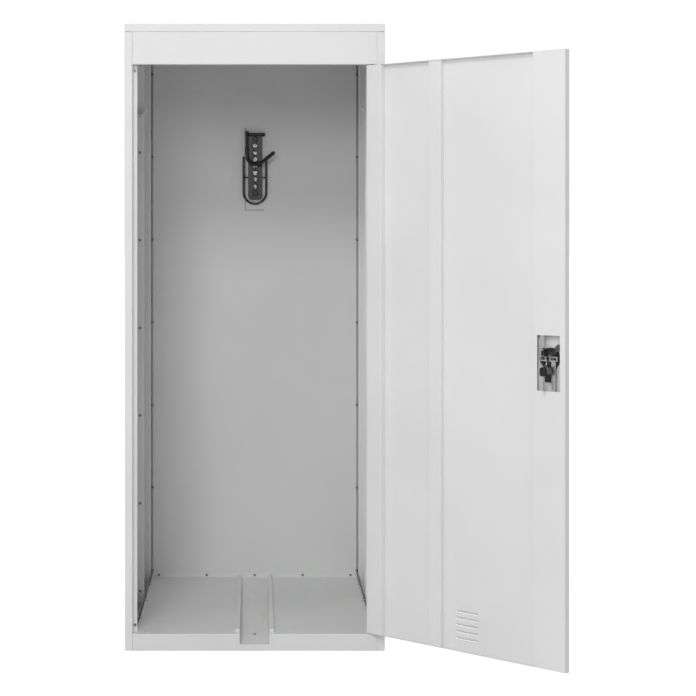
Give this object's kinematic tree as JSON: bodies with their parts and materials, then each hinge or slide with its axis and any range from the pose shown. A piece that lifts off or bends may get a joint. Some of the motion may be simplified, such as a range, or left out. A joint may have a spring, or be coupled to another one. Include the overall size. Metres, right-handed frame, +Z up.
{
  "type": "bicycle locker cabinet",
  "caption": "Tall steel locker cabinet for one bicycle hung upright, with a sloping wheel channel, a swinging wall hook and a hinged door with a two-rod lock.",
  "frame": {"origin": "on the ground, in the middle of the floor bearer's underside, which is the middle of the carcass", "axes": "+Z up, +X to the right of a person who faces the open front, +Y towards the back"},
  "size_m": [1.3295, 1.5275, 2],
  "materials": {
    "sheet_paint": "light grey powder coat",
    "door_paint": "light grey powder coat",
    "zinc_steel": "zinc plated",
    "black_plastic": "matt moulded",
    "black_coated_steel": "satin black coating",
    "soft_sleeve": "soft vinyl"
  },
  "bodies": {
    "carcass": {"side_sheet_front_left": "sheet_paint", "side_sheet_front_right": "sheet_paint", "side_sheet_rear_left": "sheet_paint", "side_sheet_rear_right": "sheet_paint", "back_panel": "sheet_paint", "floor_pan": "sheet_paint", "wheel_channel": "sheet_paint", "channel_rail_left": "sheet_paint", "channel_rail_right": "sheet_paint", "floor_bearer": "sheet_paint", "base_rail_left": "sheet_paint", "base_rail_right": "sheet_paint", "header_panel": "sheet_paint", "top_panel": "sheet_paint", "joint_bolts_left": "zinc_steel", "joint_bolts_right": "zinc_steel", "back_screws_left": "zinc_steel", "back_screws_right": "zinc_steel", "floor_screws_left": "zinc_steel", "floor_screws_right": "zinc_steel", "floor_back_screws": "zinc_steel", "channel_screws": "zinc_steel", "stile_screws": "zinc_steel", "upper_hinge_block": "zinc_steel", "lower_hinge_block": "zinc_steel", "lower_hinge_washer": "black_plastic", "hook_backing_plate": "sheet_paint", "hook_strip": "black_coated_steel", "hook_pivot": "black_coated_steel", "wheel_loop": "black_coated_steel", "hook_bolts": "zinc_steel", "side_hook_left": "sheet_paint", "side_hook_right": "sheet_paint"},
    "door": {"door_skin": "door_paint", "hinge_side_member": "door_paint", "middle_member": "door_paint", "lock_side_member": "door_paint", "upper_hinge_pin": "zinc_steel", "lower_hinge_pin": "zinc_steel", "lock_cup": "black_plastic", "lock_case": "black_plastic", "lock_block": "black_plastic", "upper_rod_guide": "black_plastic", "lower_rod_guide": "black_plastic", "key_peg": "zinc_steel"},
    "lock_handle": {"lock_handle": "black_plastic", "lock_cam": "zinc_steel"},
    "key_barrel": {"key_barrel": "zinc_steel"},
    "upper_rod": {"upper_rod": "zinc_steel"},
    "lower_rod": {"lower_rod": "zinc_steel"},
    "key_tag": {"key_tag": "black_plastic"},
    "key_ring": {"key_ring": "zinc_steel"},
    "key_first": {"key_bow_first": "black_plastic", "key_blade_first": "zinc_steel"},
    "key_second": {"key_bow_second": "black_plastic", "key_blade_second": "zinc_steel"},
    "hook_arm": {"hook_arm": "black_coated_steel", "hook_sleeve": "soft_sleeve"}
  },
  "joints": [
    {"name": "door_swing", "type": "hinge", "parent": "carcass", "child": "door", "pos_m": [0.3755, -0.484, 0.9625], "axis": [0, 0, 1], "range_deg": [-134.6, 4]},
    {"name": "handle_turn", "type": "hinge", "parent": "door", "child": "lock_handle", "pos_m": [0.86595, -0.98135, 0.966], "axis": [0.712, 0.7022, 0], "range_deg": [-45, 45]},
    {"name": "key_turn", "type": "hinge", "parent": "lock_handle", "child": "key_barrel", "pos_m": [0.86595, -0.98135, 0.966], "axis": [0.712, 0.7022, 0], "range_deg": [0, 90]},
    {"name": "upper_rod_slide", "type": "slide", "parent": "door", "child": "upper_rod", "axis": [0, 0, 1], "range_m": [-0.0142, 0.0142]},
    {"name": "lower_rod_slide", "type": "slide", "parent": "door", "child": "lower_rod", "axis": [0, 0, 1], "range_m": [-0.0142, 0.0142]},
    {"name": "tag_swing", "type": "hinge", "parent": "door", "child": "key_tag", "pos_m": [0.84104, -1.00451, 0.994], "axis": [0.712, 0.7022, 0], "range_deg": [-15, 15]},
    {"name": "ring_swing", "type": "hinge", "parent": "key_tag", "child": "key_ring", "pos_m": [0.84104, -1.00451, 0.974], "axis": [0.712, 0.7022, 0], "range_deg": [-12, 12]},
    {"name": "first_key_swing", "type": "hinge", "parent": "key_ring", "child": "key_first", "pos_m": [0.83919, -1.00634, 0.93729], "axis": [0.712, 0.7022, 0], "range_deg": [-12, 12]},
    {"name": "second_key_swing", "type": "hinge", "parent": "key_ring", "child": "key_second", "pos_m": [0.84289, -1.00269, 0.93729], "axis": [0.712, 0.7022, 0], "range_deg": [-12, 12]},
    {"name": "hook_swing", "type": "hinge", "parent": "carcass", "child": "hook_arm", "pos_m": [-0.029, 0.46, 1.669], "axis": [0, 0, 1], "range_deg": [-143, 15]}
  ],
  "couplings": [
    {"joint": "upper_rod_slide", "follows": "handle_turn", "m_per_rad": 0.018},
    {"joint": "lower_rod_slide", "follows": "handle_turn", "m_per_rad": -0.018}
  ]
}
